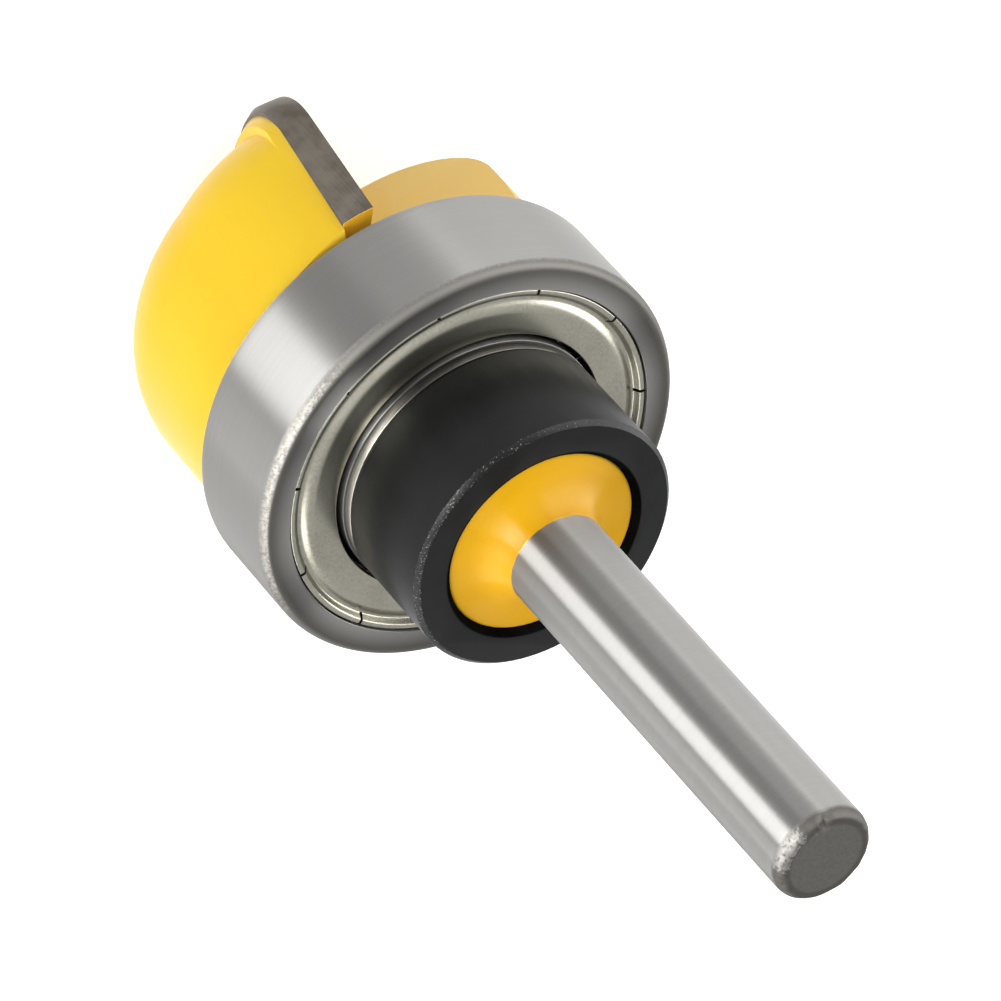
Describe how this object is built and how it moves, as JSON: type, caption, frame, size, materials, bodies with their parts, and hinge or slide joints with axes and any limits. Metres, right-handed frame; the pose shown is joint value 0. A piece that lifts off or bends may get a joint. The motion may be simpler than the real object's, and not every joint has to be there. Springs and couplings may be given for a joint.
{
  "type": "bowl and tray router bit",
  "caption": "Bowl and tray router bit: painted cutter head with brazed carbide plates, shank-side guide bearing held by a stop collar, and a plain ground shank.",
  "frame": {"origin": "on the tool axis, in the plane of the bottom cutting edges, which the bit stands on head down", "axes": "+Z along the tool axis from the cutter head to the shank; +X and +Y fixed by the carbide plates, whose cutting edges stand about 73 and 253 degrees from +X"},
  "size_m": [0.0286, 0.0286, 0.064],
  "materials": {
    "painted_steel": "gloss yellow paint on the head and boss, bare ground steel from the boss fillet up",
    "carbide": "ground sintered carbide, fine grey",
    "ring_steel": "fine ground bearing steel",
    "ball_steel": "polished",
    "cage_steel": "pressed sheet steel",
    "shield_steel": "cold rolled sheet, satin",
    "washer_steel": "bright, lightly scuffed",
    "collar_steel": "black oxide, worn bright on the front edge",
    "screw_steel": "black oxide"
  },
  "bodies": {
    "bit": {"bit_body": "painted_steel", "carbide_tip_a": "carbide", "carbide_tip_b": "carbide", "bearing_inner_ring": "ring_steel", "shim_washer": "washer_steel", "stop_collar": "collar_steel", "set_screw": "screw_steel"},
    "outer_ring": {"bearing_outer_ring": "ring_steel", "shield_front": "shield_steel", "shield_rear": "shield_steel"},
    "ball_cage": {"cage_half_front": "cage_steel", "cage_half_rear": "cage_steel", "cage_rivets": "cage_steel"},
    "ball_01": {"ball_01": "ball_steel"},
    "ball_02": {"ball_02": "ball_steel"},
    "ball_03": {"ball_03": "ball_steel"},
    "ball_04": {"ball_04": "ball_steel"},
    "ball_05": {"ball_05": "ball_steel"},
    "ball_06": {"ball_06": "ball_steel"},
    "ball_07": {"ball_07": "ball_steel"},
    "ball_08": {"ball_08": "ball_steel"},
    "ball_09": {"ball_09": "ball_steel"},
    "ball_10": {"ball_10": "ball_steel"}
  },
  "joints": [
    {"name": "bearing_spin", "type": "hinge", "parent": "bit", "child": "outer_ring", "pos_m": [0, 0, 0.02069], "axis": [0, 0, 1], "continuous": true},
    {"name": "cage_spin", "type": "hinge", "parent": "bit", "child": "ball_cage", "pos_m": [0, 0, 0.02069], "axis": [0, 0, 1], "continuous": true},
    {"name": "ball_01_spin", "type": "hinge", "parent": "ball_cage", "child": "ball_01", "pos_m": [0.01032, 0, 0.02069], "axis": [0, 0, 1], "continuous": true},
    {"name": "ball_02_spin", "type": "hinge", "parent": "ball_cage", "child": "ball_02", "pos_m": [0.00835, 0.00607, 0.02069], "axis": [0, 0, 1], "continuous": true},
    {"name": "ball_03_spin", "type": "hinge", "parent": "ball_cage", "child": "ball_03", "pos_m": [0.00319, 0.00981, 0.02069], "axis": [0, 0, 1], "continuous": true},
    {"name": "ball_04_spin", "type": "hinge", "parent": "ball_cage", "child": "ball_04", "pos_m": [-0.00319, 0.00981, 0.02069], "axis": [0, 0, 1], "continuous": true},
    {"name": "ball_05_spin", "type": "hinge", "parent": "ball_cage", "child": "ball_05", "pos_m": [-0.00835, 0.00607, 0.02069], "axis": [0, 0, 1], "continuous": true},
    {"name": "ball_06_spin", "type": "hinge", "parent": "ball_cage", "child": "ball_06", "pos_m": [-0.01032, 0, 0.02069], "axis": [0, 0, 1], "continuous": true},
    {"name": "ball_07_spin", "type": "hinge", "parent": "ball_cage", "child": "ball_07", "pos_m": [-0.00835, -0.00607, 0.02069], "axis": [0, 0, 1], "continuous": true},
    {"name": "ball_08_spin", "type": "hinge", "parent": "ball_cage", "child": "ball_08", "pos_m": [-0.00319, -0.00981, 0.02069], "axis": [0, 0, 1], "continuous": true},
    {"name": "ball_09_spin", "type": "hinge", "parent": "ball_cage", "child": "ball_09", "pos_m": [0.00319, -0.00981, 0.02069], "axis": [0, 0, 1], "continuous": true},
    {"name": "ball_10_spin", "type": "hinge", "parent": "ball_cage", "child": "ball_10", "pos_m": [0.00835, -0.00607, 0.02069], "axis": [0, 0, 1], "continuous": true}
  ],
  "couplings": [
    {"joint": "cage_spin", "follows": "bearing_spin", "ratio": 0.59616},
    {"joint": "ball_01_spin", "follows": "bearing_spin", "ratio": 2.5037},
    {"joint": "ball_02_spin", "follows": "bearing_spin", "ratio": 2.5037},
    {"joint": "ball_03_spin", "follows": "bearing_spin", "ratio": 2.5037},
    {"joint": "ball_04_spin", "follows": "bearing_spin", "ratio": 2.5037},
    {"joint": "ball_05_spin", "follows": "bearing_spin", "ratio": 2.5037},
    {"joint": "ball_06_spin", "follows": "bearing_spin", "ratio": 2.5037},
    {"joint": "ball_07_spin", "follows": "bearing_spin", "ratio": 2.5037},
    {"joint": "ball_08_spin", "follows": "bearing_spin", "ratio": 2.5037},
    {"joint": "ball_09_spin", "follows": "bearing_spin", "ratio": 2.5037},
    {"joint": "ball_10_spin", "follows": "bearing_spin", "ratio": 2.5037}
  ]
}
